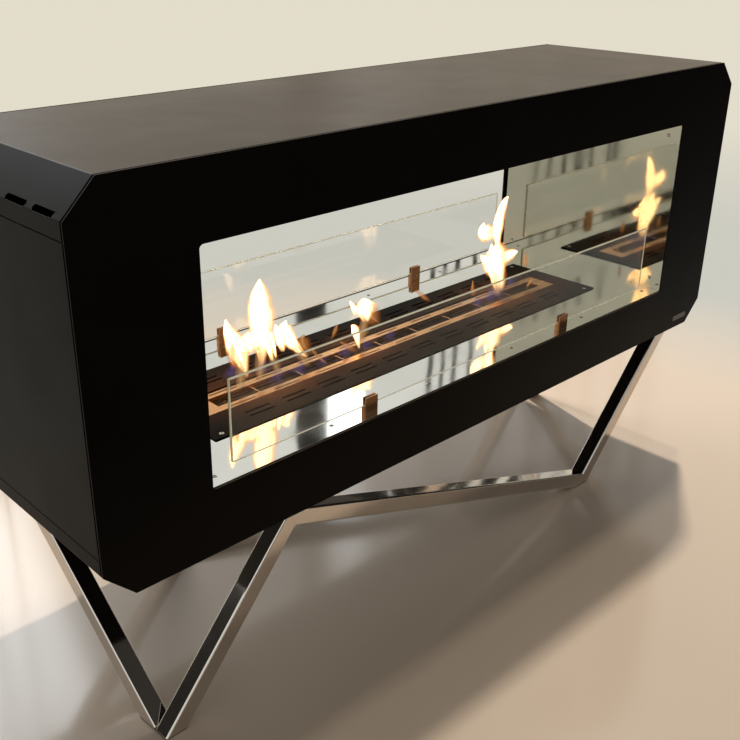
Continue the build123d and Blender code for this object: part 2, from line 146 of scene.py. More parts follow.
class FireplaceFire(bpy.types.PropertyGroup):
    """The flames over the trough."""

    strength: number("Strength", 4.0, "Light of the flames")
    glow_power: number("Glow", 1.5, "Power of the warm light that the flames throw", unit="POWER")
    depth: share("Depth", 0.55, "Depth of a flame over its width")
    core: colour("Core", (1.0, 0.62, 0.31), "Colour of a flame's core")
    body: colour("Body", (1.0, 0.48, 0.15), "Colour round a flame's core")
    rim: colour("Rim", (0.80, 0.24, 0.045), "Colour of a flame's rim and of its foot")
    blue: colour("Blue", (0.16, 0.12, 0.34), "Colour of the low blue flames")


class FireplaceStage(bpy.types.PropertyGroup):
    """Floor, lights and camera."""

    floor: colour("Floor", (0.68, 0.56, 0.445), "Pale floor")
    floor_roughness: share("Floor roughness", 0.11, "Gloss of the floor")
    wall: colour("Background", (0.77, 0.72, 0.60), "Pale background near the floor")
    near_wall: colour("Floor behind", (0.61, 0.60, 0.53), "Grey of the floor behind the fireplace")
    ceiling: colour("Overhead", (0.90, 0.91, 0.88), "Pale background overhead")
    world_light: number("World light", 0.26, "Light from all round")
    key_power: number("Key", 87, "Power of the main lamps", unit="POWER")
    fill_power: number("Fill", 62, "Power of the cool lamp behind", unit="POWER")
    window_power: number("Window", 1, "Power of the narrow lamp that the steel mirrors", unit="POWER")
    lens: number("Lens", 47.478, "Focal length", unit="CAMERA")


# --- Small helpers ---
def place(node, low_or_high, axis):
    """One coordinate of a CAD node's box; low_or_high is 0 or 1."""
    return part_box(node)[low_or_high][axis]


def new_object(name, data):
    """A new object, linked into the scene."""
    added = bpy.data.objects.new(name, data)
    bpy.context.scene.collection.objects.link(added)
    return added


def new_piece(name, bm, body, smooth=True):
    """Turn a bmesh into a piece that rides on a body."""
    mesh = bpy.data.meshes.new(name)
    bmesh.ops.recalc_face_normals(bm, faces=bm.faces)
    bm.to_mesh(mesh)
    bm.free()
    if smooth:
        mesh.shade_smooth()
        mesh.set_sharp_from_angle(angle=SHARP_ANGLE)
    piece = new_object(name, mesh)
    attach(piece, body)
    return piece


def ring(bm, centre, across, up, radii):
    """A closed ring of vertices round a centre, with one radius for each."""
    turns = [2 * pi * i / len(radii) for i in range(len(radii))]
    spots = [centre + across * (r * cos(t)) + up * (r * sin(t)) for r, t in zip(radii, turns)]
    return [bm.verts.new(spot) for spot in spots]


def bridge(bm, lower, upper):
    """Quads between two rings of the same count."""
    for i in range(len(lower)):
        bm.faces.new((lower[i - 1], lower[i], upper[i], upper[i - 1]))


def hexagon(radius):
    """Radii that draw a hexagon with a ring of vertices."""
    turns = (2 * pi * i / SCREW_SEGMENTS for i in range(SCREW_SEGMENTS))
    return [radius * cos(pi / 6) / cos((turn + pi / 6) % (pi / 3) - pi / 6) for turn in turns]


def screw(bm, centre, outward, across, radius, outline, socket_floor):
    """A head with a hexagonal socket.

    The outline gives the head's widths, over its radius, and their heights, up to its top.
    """
    up = outward.cross(across)
    socket = hexagon(radius * SOCKET_SHARE)
    profile = [([radius * width] * SCREW_SEGMENTS, rise) for width, rise in outline]
    profile += [(socket, outline[-1][1]), (socket, socket_floor)]
    rings = [ring(bm, centre + outward * rise, across, up, radii) for radii, rise in profile]
    for lower, upper in zip(rings, rings[1:]):
        bridge(bm, lower, upper)
    bm.faces.new(rings[0])
    bm.faces.new(rings[-1])


def round_screw(bm, centre, outward, radius, height):
    """A low round head, standing on a face."""
    outline = [(width, height * rise) for width, rise in ROUND_HEAD]
    across = outward.orthogonal().normalized()
    screw(bm, centre, outward, across, radius, outline, height * SOCKET_FLOOR)


def countersunk_screw(bm, top, radius, depth):
    """A countersunk head, flush with the plate."""
    outline = ((0.56, -depth), (1.0, -0.00005), (0.97, 0.0))
    screw(bm, top, UP, Vector((1, 0, 0)), radius, outline, -depth * SUNK_SOCKET)


# --- Shader helpers ---
FLOW = "flow"


class Nodes:
    """A short way to write a node tree."""

    def __init__(self, tree):
        self.tree = tree

    def add(self, kind, inputs=None, **settings):
        """Add a node, set its fields, and set or link its inputs."""
        node = self.tree.nodes.new("ShaderNode" + kind)
        for key, value in settings.items():
            setattr(node, key, value)
        for key, value in (inputs or {}).items():
            self.put(node.inputs[key], value)
        return node

    def put(self, socket, value):
        """Link a socket to another, or give it a value."""
        if isinstance(value, bpy.types.NodeSocket):
            self.tree.links.new(value, socket)
        else:
            socket.default_value = value

    def noise(self, vector, scale, detail=3.0, roughness=0.5):
        """Fractal noise, from nought to one."""
        inputs = {"Vector": vector, "Scale": scale, "Detail": detail, "Roughness": roughness}
        return self.add("TexNoise", inputs).outputs["Fac"]

    def remap(self, value, low, high, to_low=0.0, to_high=1.0):
        """A value's range mapped to another, clamped."""
        limits = {"From Min": low, "From Max": high, "To Min": to_low, "To Max": to_high}
        return self.add("MapRange", {"Value": value, **limits}).outputs["Result"]

    def math(self, operation, first, second=0.0):
        """One arithmetic step."""
        node = self.add("Math", {0: first, 1: second}, operation=operation)
        return node.outputs["Value"]

    def times(self, first, second):
        """A product."""
        return self.math("MULTIPLY", first, second)

    def blend(self, factor, first, second):
        """Two colours mixed by a factor."""
        node = self.add("Mix", {"Factor": factor, "A": first, "B": second}, data_type="RGBA")
        return node.outputs["Result"]

    def axes(self, vector):
        """A vector's coordinates."""
        return self.add("SeparateXYZ", {"Vector": vector}).outputs

    def stretched(self, vector, factors):
        """A position scaled by a factor along each axis."""
        node = self.add("VectorMath", {0: vector, 1: factors}, operation="MULTIPLY")
        return node.outputs["Vector"]


def rgba(value, shade=1.0):
    """A colour with full alpha, made paler or darker by a factor."""
    return (value[0] * shade, value[1] * shade, value[2] * shade, 1.0)


def new_group(name, inputs, outputs):
    """An empty shader group that takes a position and the named numbers.

    Returns its nodes, its inputs and its outputs.
    """
    group = bpy.data.node_groups.new(name, "ShaderNodeTree")
    add_socket = group.interface.new_socket
    add_socket("Position", in_out="INPUT", socket_type="NodeSocketVector")
    for socket_name, default in inputs.items():
        socket = add_socket(socket_name, in_out="INPUT", socket_type="NodeSocketFloat")
        socket.default_value = default
    for socket_name in outputs:
        kind = "NodeSocketVector" if socket_name == "Normal" else "NodeSocketFloat"
        add_socket(socket_name, in_out="OUTPUT", socket_type=kind)
    entry = group.nodes.new("NodeGroupInput")
    leaving = group.nodes.new("NodeGroupOutput")
    return Nodes(group), entry.outputs, leaving.inputs


def fine_grain_group():
    """Fine grain of a coat or a matt surface: a height and an even mottle."""
    nodes, given, out = new_group("fine_grain", {"Grains per metre": 900.0}, ("Height", "Mottle"))
    grain = nodes.noise(given["Position"], given["Grains per metre"], 2.0, 0.55)
    broad = nodes.noise(given["Position"], 9.0, 4.0, 0.6)
    nodes.put(out["Height"], grain)
    nodes.put(out["Mottle"], nodes.remap(broad, 0.3, 0.7))


def dust_and_sheen_group():
    """Dust on faces that look up, in soft patches; it lightens them too, as a painted sheen."""
    nodes, given, out = new_group("settled_dust", {"Amount": 0.3}, ("Mask",))
    upward = nodes.axes(nodes.add("NewGeometry").outputs["Normal"])["Z"]
    level = nodes.remap(upward, 0.72, 0.98)
    patches = nodes.remap(nodes.noise(given["Position"], 7.0, 6.0, 0.65), 0.30, 0.75, 0.42, 0.62)
    specks = nodes.remap(nodes.noise(given["Position"], 640.0, 2.0, 0.5), 0.50, 0.74)
    cover = nodes.math("ADD", patches, nodes.times(specks, 0.4))
    nodes.put(out["Mask"], nodes.times(nodes.times(level, cover), given["Amount"]))


def edge_wear_and_highlight_group():
    """Soft light along edges: a painted highlight, and where a coat thins or a corner is worn bright.
    """
    nodes, given, out = new_group("edge_wear", {"Width": 0.0008, "Amount": 0.5}, ("Mask", "Normal"))
    soft = nodes.add("Bevel", {"Radius": given["Width"]}, samples=4).outputs["Normal"]
    true = nodes.add("NewGeometry").outputs["Normal"]
    alike = nodes.add("VectorMath", {0: soft, 1: true}, operation="DOT_PRODUCT").outputs["Value"]
    edge = nodes.remap(alike, 0.96, 0.75)
    broken = nodes.remap(nodes.noise(given["Position"], 60.0, 5.0, 0.7), 0.35, 0.7, 0.25, 1.0)
    nodes.put(out["Mask"], nodes.times(nodes.times(edge, broken), given["Amount"]))
    nodes.put(out["Normal"], soft)


def polish_group():
    """Traces in polished steel: hazy smudges, fine hairlines and a slight wave in the sheet."""
    nodes, given, out = new_group("polish_traces", {"Wave": 5.0}, ("Haze", "Hairlines", "Wave"))
    smudge = nodes.remap(nodes.noise(given["Position"], 11.0, 5.0, 0.62), 0.45, 0.78)
    along = nodes.stretched(given["Position"], (6.0, 900.0, 900.0))
    nodes.put(out["Haze"], smudge)
    nodes.put(out["Hairlines"], nodes.noise(along, 1.0, 2.0, 0.5))
    nodes.put(out["Wave"], nodes.noise(given["Position"], given["Wave"], 1.0, 0.4))


def build_groups():
    """Build each shared effect once."""
    for build in (fine_grain_group, dust_and_sheen_group, edge_wear_and_highlight_group, polish_group):
        build()


class Material:
    """A material with a Principled shader, its object position and its bump, ready to wire."""

    def __init__(self, name):
        self.data = bpy.data.materials.new(name)
        self.data.use_nodes = True
        self.nodes = Nodes(self.data.node_tree)
        self.shader = self.data.node_tree.nodes["Principled BSDF"]
        self.position = self.nodes.add("TexCoord").outputs["Object"]

    def fill(self, node, values):
        """Set or link a node's sockets, named with underscores."""
        for key, value in values.items():
            self.nodes.put(node.inputs[key.replace("_", " ")], value)

    def set(self, **values):
        """Set or link the shader's sockets."""
        self.fill(self.shader, values)

    def effect(self, group, **inputs):
        """Place a shared effect at this material's position."""
        node = self.nodes.add("Group", node_tree=bpy.data.node_groups[group])
        self.fill(node, {"Position": self.position, **inputs})
        return node.outputs

    def bump(self, height, distance, strength, normal=None):
        """Bump from a height, over an optional base normal."""
        inputs = {"Height": height, "Distance": distance, "Strength": strength}
        if normal:
            inputs["Normal"] = normal
        self.set(Normal=self.nodes.add("Bump", inputs).outputs["Normal"])

    def give_way(self, factor, other):
        """Let another shader take over, by a factor."""
        shaders = {0: factor, 1: self.shader.outputs[0], 2: other.outputs[0]}
        mix = self.nodes.add("MixShader", shaders)
        output = self.data.node_tree.nodes["Material Output"]
        self.nodes.put(output.inputs["Surface"], mix.outputs[0])


def dress(material, names):
    """Put a material on CAD nodes."""
    for name in names:
        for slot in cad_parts[name].material_slots:
            slot.material = material.data


# --- Finishes ---
def powder_coat(finish):
    """Matt black powder coat with an orange-peel grain, worn edges and a little dusting, plus a
    painted edge highlight and a painted sheen on the top.
    """
    coat = Material("powder_coat_black")
    nodes = coat.nodes
    grain = coat.effect("fine_grain", Grains_per_metre=1400.0)
    # Painted sheen: the dusting's pale colour lightens the faces that look up, standing for light
    # glancing off the coat.
    dust_and_sheen = coat.effect("settled_dust", Amount=0.33)["Mask"]
    # Painted highlight along the edges, together with a thinned coat.
    wear_and_highlight = coat.effect("edge_wear", Width=0.0007, Amount=0.28)
    base = nodes.blend(grain["Mottle"], rgba(finish.coat), rgba(finish.coat, 1.35))
    worn_and_highlit = nodes.blend(wear_and_highlight["Mask"], base, (0.075, 0.070, 0.062, 1))
    coat.set(
        Base_Color=nodes.blend(dust_and_sheen, worn_and_highlit, (0.33, 0.255, 0.178, 1)),
        Roughness=nodes.remap(
            grain["Mottle"], 0, 1, finish.coat_roughness - 0.03, finish.coat_roughness + 0.04
        ),
        Specular_IOR_Level=0.06,
    )
    coat.bump(grain["Height"], 0.00006, 0.8, wear_and_highlight["Normal"])
    return coat


def plate_coat(finish):
    """Heat-proof black coat of the burner's cover plate, a little browned near the flames."""
    coat = Material("burner_plate_black")
    nodes = coat.nodes
    grain = coat.effect("fine_grain", Grains_per_metre=1800.0)
    # A faint painted sheen comes with the dusting, on the faces that look up.
    dust_and_sheen = coat.effect("settled_dust", Amount=0.03)["Mask"]
    # Painted highlight along the edges, together with a thinned coat.
    wear_and_highlight = coat.effect("edge_wear", Width=0.0005, Amount=0.35)
    away = nodes.math("ABSOLUTE", nodes.axes(coat.position)["Y"])
    heat = nodes.times(nodes.remap(away, 0.075, 0.030), grain["Mottle"])
    browned = nodes.blend(heat, rgba(finish.plate), (0.034, 0.016, 0.008, 1))
    worn_and_highlit = nodes.blend(wear_and_highlight["Mask"], browned, (0.10, 0.095, 0.09, 1))
    coat.set(
        Base_Color=nodes.blend(dust_and_sheen, worn_and_highlit, (0.28, 0.26, 0.23, 1)),
        Roughness=nodes.remap(grain["Mottle"], 0, 1, 0.36, 0.46),
        Specular_IOR_Level=0.015,
    )
    coat.bump(grain["Height"], 0.00004, 0.8, wear_and_highlight["Normal"])
    return coat


def polished_steel(name, colour_value, roughness, wave, wave_height):
    """Mirror-polished stainless steel with haze, hairlines and a slight wave."""
    steel = Material(name)
    nodes = steel.nodes
    traces = steel.effect("polish_traces", Wave=wave)
    # Painted highlight: the edges are paler than the polished sheet.
    wear_and_highlight = steel.effect("edge_wear", Width=0.0006, Amount=0.5)
    dull = nodes.times(traces["Haze"], 0.055)
    lines = nodes.times(traces["Hairlines"], 0.03)
    base = nodes.blend(traces["Haze"], rgba(colour_value), rgba(colour_value, 0.94))
    steel.set(
        Base_Color=nodes.blend(wear_and_highlight["Mask"], base, (0.86, 0.84, 0.80, 1)),
        Roughness=nodes.math("ADD", nodes.math("ADD", dull, lines), roughness),
        Metallic=1.0,
    )
    steel.bump(traces["Wave"], wave_height, 1.0, wear_and_highlight["Normal"])
    return steel


def satin_steel(finish):
    """Satin stainless sheet of the burner, tinted by heat towards the trough."""
    steel = Material("burner_satin_steel")
    nodes = steel.nodes
    traces = steel.effect("polish_traces", Wave=14.0)
    grain = steel.effect("fine_grain", Grains_per_metre=300.0)
    # Painted highlight: the edges are paler than the satin sheet.
    wear_and_highlight = steel.effect("edge_wear", Width=0.0004, Amount=0.5)
    axes = nodes.axes(steel.position)
    near = nodes.remap(nodes.math("ABSOLUTE", axes["Y"]), 0.060, 0.026)
    top = place("burner_deck", 1, 2)
    high = nodes.remap(axes["Z"], top - 0.010, top - 0.003)
    mottle = nodes.remap(grain["Mottle"], 0.0, 1.0, 0.45, 1.0)
    heat = nodes.times(nodes.times(near, high), mottle)
    straw = nodes.blend(heat, rgba(finish.satin), (0.84, 0.36, 0.08, 1))
    blued = nodes.times(nodes.remap(heat, 0.72, 1.0), 0.2)
    tinted = nodes.blend(blued, straw, (0.30, 0.27, 0.36, 1))
    lines = nodes.times(traces["Hairlines"], 0.16)
    steel.set(
        Base_Color=nodes.blend(wear_and_highlight["Mask"], tinted, (0.85, 0.80, 0.72, 1)),
        Roughness=nodes.math("ADD", lines, 0.17),
        Metallic=1.0,
    )
    steel.bump(traces["Hairlines"], 0.00002, 0.7, wear_and_highlight["Normal"])
    return steel


def clear_glass():
    """Clear toughened glass with ground edges."""
    glass = Material("clear_glass")
    nodes = glass.nodes
    facing = nodes.math("ABSOLUTE", nodes.axes(nodes.add("NewGeometry").outputs["Normal"])["Y"])
    edge = nodes.remap(facing, 0.95, 0.75)
    smears = nodes.remap(nodes.noise(glass.position, 16.0, 5.0, 0.65), 0.55, 0.85, 0.0, 0.025)
    glass.set(
        Base_Color=nodes.blend(edge, (0.975, 0.985, 0.98, 1), (0.97, 0.975, 0.93, 1)),
        Roughness=nodes.math("MAXIMUM", smears, nodes.times(edge, 0.30)),
        Transmission_Weight=1.0,
        IOR=1.4,
    )
    return glass


def sooted_wool(finish):
    """Grey ceramic fibre, sooted black in patches."""
    wool = Material("sooted_wool")
    nodes = wool.nodes
    fibres = nodes.noise(nodes.stretched(wool.position, (300.0, 900.0, 900.0)), 1.0, 6.0, 0.75)
    soot = nodes.remap(nodes.noise(wool.position, 34.0, 5.0, 0.6), 0.38, 0.66)
    pale = nodes.blend(fibres, rgba(finish.wool), rgba(finish.wool, 1.8))
    wool.set(
        Base_Color=nodes.blend(soot, pale, (0.012, 0.011, 0.011, 1)),
        Roughness=nodes.remap(fibres, 0.2, 0.8, 0.85, 0.98),
    )
    wool.bump(fibres, 0.0008, 1.0)
    return wool


def pad_rubber():
    """Black rubber of the foot pads."""
    rubber = Material("pad_rubber")
    nodes = rubber.nodes
    grain = rubber.effect("fine_grain", Grains_per_metre=700.0)
    rubber.set(
        Base_Color=nodes.blend(grain["Mottle"], (0.016, 0.016, 0.016, 1), (0.030, 0.029, 0.028, 1)),
        Roughness=nodes.remap(grain["Mottle"], 0, 1, 0.70, 0.82),
    )
    rubber.bump(grain["Height"], 0.0001, 0.7)
    return rubber


def fastener_steel(name, shade=1.0):
    """Plain stainless of screws, bolts, nuts and the bare plate, worn bright at its edges, with a
    painted highlight there.
    """
    steel = Material(name)
    nodes = steel.nodes
    grain = steel.effect("fine_grain", Grains_per_metre=2600.0)
    # Painted highlight along the edges, together with worn metal.
    wear_and_highlight = steel.effect("edge_wear", Width=0.0003, Amount=0.6)
    dark, pale = rgba((0.36, 0.34, 0.31), shade), rgba((0.50, 0.48, 0.45), shade)
    base = nodes.blend(grain["Mottle"], dark, pale)
    steel.set(
        Base_Color=nodes.blend(wear_and_highlight["Mask"], base, (0.78, 0.76, 0.72, 1)),
        Roughness=nodes.remap(grain["Height"], 0.3, 0.7, 0.26, 0.40),
        Metallic=1.0,
    )
    steel.bump(grain["Height"], 0.00002, 0.6, wear_and_highlight["Normal"])
    return steel


def flame_material(name, colours, strength, opacity, solid):
    """Glow of a sheet of flame: from its rim to its middle it goes through three colours."""
    flame = Material(name)
    nodes = flame.nodes
    flow = nodes.axes(nodes.add("UVMap", uv_map=FLOW).outputs["UV"])
    streaks = nodes.noise(nodes.stretched(flame.position, (160.0, 160.0, 34.0)), 1.0, 3.0, 0.6)
    ragged = nodes.math("ADD", flow["X"], nodes.remap(streaks, 0.3, 0.7, -0.06, 0.06))
    rise = nodes.remap(flow["Y"], 0.0, 0.34)
    inner = nodes.times(nodes.remap(ragged, 0.22, solid), rise)
    outer = nodes.remap(ragged, 0.05, 0.40)
    veil = nodes.remap(ragged, 0.02, 0.46, 0.0, opacity)
    veil = nodes.math("MAXIMUM", veil, nodes.times(inner, opacity))
    rim, body, core = (rgba(value) for value in colours)
    flame.set(
        Base_Color=(0, 0, 0, 1),
        Emission_Color=nodes.blend(inner, nodes.blend(outer, rim, body), core),
        Emission_Strength=nodes.remap(inner, 0.0, 1.0, strength * 0.55, strength),
        Alpha=nodes.times(veil, nodes.remap(flow["Y"], 0.0, 0.30)),
        Roughness=1.0,
        Specular_IOR_Level=0.0,
    )
    return flame


def rim_glass(finish):
    """Ground edge of a pane, where the light in the glass comes out pale yellow."""
    rim = Material("ground_glass_edge")
    nodes = rim.nodes
    ground = nodes.noise(rim.position, 900.0, 3.0, 0.6)
    broad = nodes.remap(nodes.noise(rim.position, 14.0, 3.0, 0.5), 0.3, 0.7)
    rim.set(
        Base_Color=nodes.blend(broad, rgba(finish.glass_edge), rgba(finish.glass_edge, 0.86)),
        Roughness=nodes.remap(ground, 0.3, 0.7, 0.35, 0.55),
        # Painted glow: the ground edge shines by itself, standing for light coming out of the glass.
        Emission_Color=(1.0, 0.80, 0.48, 1.0),
        Emission_Strength=0.11,
    )
    rim.bump(ground, 0.00005, 0.6)
    return rim


# --- Operators: one for each piece or group of like pieces ---
# How each polished steel waves: (waves in a metre, their height).
SHEET_WAVE = (4.0, 0.0016)
CLIP_WAVE = (60.0, 0.00006)
TUBE_WAVE = (22.0, 0.0002)
CLIP_DULLNESS = 0.24  # roughness of the clips over the sheet's


class FIREPLACE_OT_casing(bpy.types.Operator):
    """Powder coat the covers, panels, fascias, frames and the bars between them"""

    bl_idname = "fireplace.casing"
    bl_label = "Casing"

    def execute(self, context):
        coat = powder_coat(context.scene.fireplace_finish)
        names = ["top_cover", "bottom_cover", "left_side_panel", "right_side_panel"]
        for side in ("front", "rear"):
            names += [f"{side}_fascia", f"{side}_frame", f"{side}_fascia_spacers"]
        dress(coat, names)
        return {"FINISHED"}


class FIREPLACE_OT_firebox(bpy.types.Operator):
    """Polish the firebox's floor, walls and ceiling, and the glass clips"""

    bl_idname = "fireplace.firebox"
    bl_label = "Firebox and clips"

    def execute(self, context):
        finish = context.scene.fireplace_finish
        sheet = polished_steel("polished_sheet", finish.sheet, finish.sheet_roughness, *SHEET_WAVE)
        dress(sheet, ["firebox_floor"])
        # Painted shade: the walls and ceiling take a darker, yellower copy of the floor's steel.
        wall = polished_steel("polished_wall", finish.shaded_wall_sheet, finish.sheet_roughness, *SHEET_WAVE)
        dress(wall, ["firebox_ceiling", "firebox_left_wall", "firebox_right_wall"])
        dull = finish.sheet_roughness + CLIP_DULLNESS
        # Painted firelight: the clip steel is tinted orange-brown for the flames' light.
        clip = polished_steel("bronzed_clip", finish.clip, dull, *CLIP_WAVE)
        for side in ("front", "rear"):
            dress(clip, [f"{side}_clip_{part}" for part in ("outer_plates", "inner_plates", "blocks")])
        return {"FINISHED"}


class FIREPLACE_OT_stand(bpy.types.Operator):
    """Polish the stand's tubes and seat plates, and blacken the foot pads"""

    bl_idname = "fireplace.stand"
    bl_label = "Stand"

    def execute(self, context):
        finish = context.scene.fireplace_finish
        tube = polished_steel("polished_tube", finish.tube, finish.tube_roughness, *TUBE_WAVE)
        members = [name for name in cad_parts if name.endswith(("_leg", "_brace"))]
        dress(tube, members + ["seat_plates"])
        dress(pad_rubber(), ["foot_pads"])
        return {"FINISHED"}


class FIREPLACE_OT_burner(bpy.types.Operator):
    """Finish the burner's cover plate, deck, tank, ties and housing"""

    bl_idname = "fireplace.burner"
    bl_label = "Burner"

    def execute(self, context):
        finish = context.scene.fireplace_finish
        dress(plate_coat(finish), ["burner_cover_plate", "burner_housing"])
        dress(satin_steel(finish), ["burner_deck", "fuel_tank", "cross_ties"])
        return {"FINISHED"}


class FIREPLACE_OT_wool(bpy.types.Operator):
    """Lay the uneven ceramic wool in the trough"""

    bl_idname = "fireplace.wool"
    bl_label = "Ceramic wool"

    def execute(self, context):
        low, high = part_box("ceramic_wool")
        across = WOOL_COLUMNS
        along = int(round(across * (high[0] - low[0]) / (high[1] - low[1])))
        bm = bmesh.new()
        top, base = [], []
        for i in range(along + 1):
            x = low[0] + (high[0] - low[0]) * i / along
            for j in range(across + 1):
                y = low[1] + (high[1] - low[1]) * j / across
                tuft = noise.fractal(Vector((x * TUFTS_ALONG, y * TUFTS_ACROSS, 0.0)), *TUFT_NOISE)
                tuft = max(-1.0, min(1.0, tuft))
                inner = min(1.0, WOOL_SHOULDER * min(j, across - j) / across)
                z = high[2] - WOOL_SINK - WOOL_ROLL * (1 - inner) + WOOL_TUFT * tuft
                top.append(bm.verts.new((x, y, z)))
                base.append(bm.verts.new((x, y, low[2])))
        stride = across + 1
        for i in range(along):
            for j in range(across):
                a = i * stride + j
                b = a + stride
                bm.faces.new((top[a], top[b], top[b + 1], top[a + 1]))
                bm.faces.new((base[a], base[a + 1], base[b + 1], base[b]))
        edge = list(range(stride))
        edge += [i * stride + across for i in range(1, along + 1)]
        edge += [along * stride + j for j in range(across - 1, -1, -1)]
        edge += [i * stride for i in range(along - 1, 0, -1)]
        for a, b in zip(edge, edge[1:] + edge[:1]):
            bm.faces.new((top[a], top[b], base[b], base[a]))
        wool = new_piece("wool_bed", bm, BURNER)
        wool.data.materials.append(sooted_wool(context.scene.fireplace_finish).data)
        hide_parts("ceramic_wool")
        return {"FINISHED"}


class FIREPLACE_OT_glass(bpy.types.Operator):
    """Make the two panes clear, with pale yellow ground edges"""

    bl_idname = "fireplace.glass"
    bl_label = "Glass panes"

    def execute(self, context):
        finish = context.scene.fireplace_finish
        dress(clear_glass(), ["front_glass", "rear_glass"])
        ground = rim_glass(finish)
        for side in ("front", "rear"):
            low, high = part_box(f"{side}_glass")
            bm = bmesh.new()
            loops = []
            for inset in GROUND_INSETS:
                corners = (
                    (low[0] + inset, low[2] + inset), (high[0] - inset, low[2] + inset),
                    (high[0] - inset, high[2] - inset), (low[0] + inset, high[2] - inset),
                )
                for y in (low[1] + GROUND_MARGIN, high[1] - GROUND_MARGIN):
                    loops.append([bm.verts.new((x, y, z)) for x, z in corners])
            for first, second in ((0, 1), (1, 3), (3, 2), (2, 0)):
                bridge(bm, loops[first], loops[second])
            rim = new_piece(f"{side}_glass_rim", bm, f"{side}_pane", smooth=False)
            rim.data.materials.append(ground.data)
        return {"FINISHED"}


class FIREPLACE_OT_screws(bpy.types.Operator):
    """Add the screws of the floor, walls, clips and cover plate, and finish the bolts and nuts"""

    bl_idname = "fireplace.screws"
    bl_label = "Screws and bolts"

    def execute(self, context):
        sizes = context.scene.fireplace_fittings
        steel = fastener_steel("fastener_steel")
        front = place("front_fascia", 0, 1)
        floor_z = place("firebox_floor", 1, 2)
        wall_x = place("firebox_right_wall", 0, 0)
        ceiling_z = place("firebox_ceiling", 0, 2)
        radius = sizes.screw_radius
        ends = (-1, 1)

        floor = bmesh.new()
        for i, side in product(range(sizes.floor_screw_count), ends):
            x = (i - (sizes.floor_screw_count - 1) / 2) * sizes.floor_screw_pitch
            centre = Vector((x, side * (-front - sizes.floor_screw_setback), floor_z))
            round_screw(floor, centre, UP, radius, LOW_HEAD)

        wall = bmesh.new()
        rows = (floor_z + sizes.wall_screw_rise, ceiling_z - sizes.wall_screw_drop)
        for side, depth, z in product(ends, ends, rows):
            centre = Vector((side * wall_x, depth * (-front - sizes.wall_screw_setback), z))
            round_screw(wall, centre, Vector((-side, 0, 0)), radius, LOW_HEAD)

        clip = bmesh.new()
        clip_middle = place("front_clip_inner_plates", 1, 0) - sizes.clip_width / 2
        face_y = place("front_clip_inner_plates", 1, 1)
        z = floor_z + sizes.clip_screw_rise
        for depth, middle, offset in product(ends, ends, (-0.5, 0.5)):
            x = middle * clip_middle + offset * sizes.clip_screw_spacing
            centre = Vector((x, depth * -face_y, z))
            round_screw(clip, centre, Vector((0, -depth, 0)), sizes.clip_screw_radius, CLIP_HEAD)

        cover = bmesh.new()
        low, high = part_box("cover_plate_screws")
        columns = (low[0] + radius, high[0] - radius)
        for x, y in product(columns, (low[1] + radius, high[1] - radius)):
            countersunk_screw(cover, Vector((x, y, high[2])), radius, high[2] - low[2])

        groups = {"floor": floor, "wall": wall, "clip": clip, "cover": cover}
        for where, bm in groups.items():
            piece = new_piece(f"{where}_screws", bm, BODY)
            piece.data.materials.append(steel.data)
        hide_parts("cover_plate_screws")
        dress(steel, ["seat_bolts", "seat_nuts"])
        return {"FINISHED"}


class FIREPLACE_OT_bare_plate(bpy.types.Operator):
    """Dull the small bare plate in the front fascia's lower right corner"""

    bl_idname = "fireplace.bare_plate"
    bl_label = "Bare plate"

    def execute(self, context):
        dress(fastener_steel("bare_plate_steel", shade=0.32), ["blank_plate"])
        return {"FINISHED"}


# --- Flames ---
STEPS_PER_POINT = 8  # rows of faces between two points of a spine
TONGUE_COLUMNS = 8
RIPPLE = 0.12  # how far a tongue's rim wanders, over its half width
RIPPLES = (1.5, 30, 55)  # across a half width, and in a metre along and up
OTHER_RIPPLE = 40  # moves the ripples of the sheets that are turned square on
CURL = 0.35  # how far a tongue's middle stands forward, over its half width
THINNEST = 0.0005
TONGUE_GAP = 0.0004  # from one tongue to the next, in depth
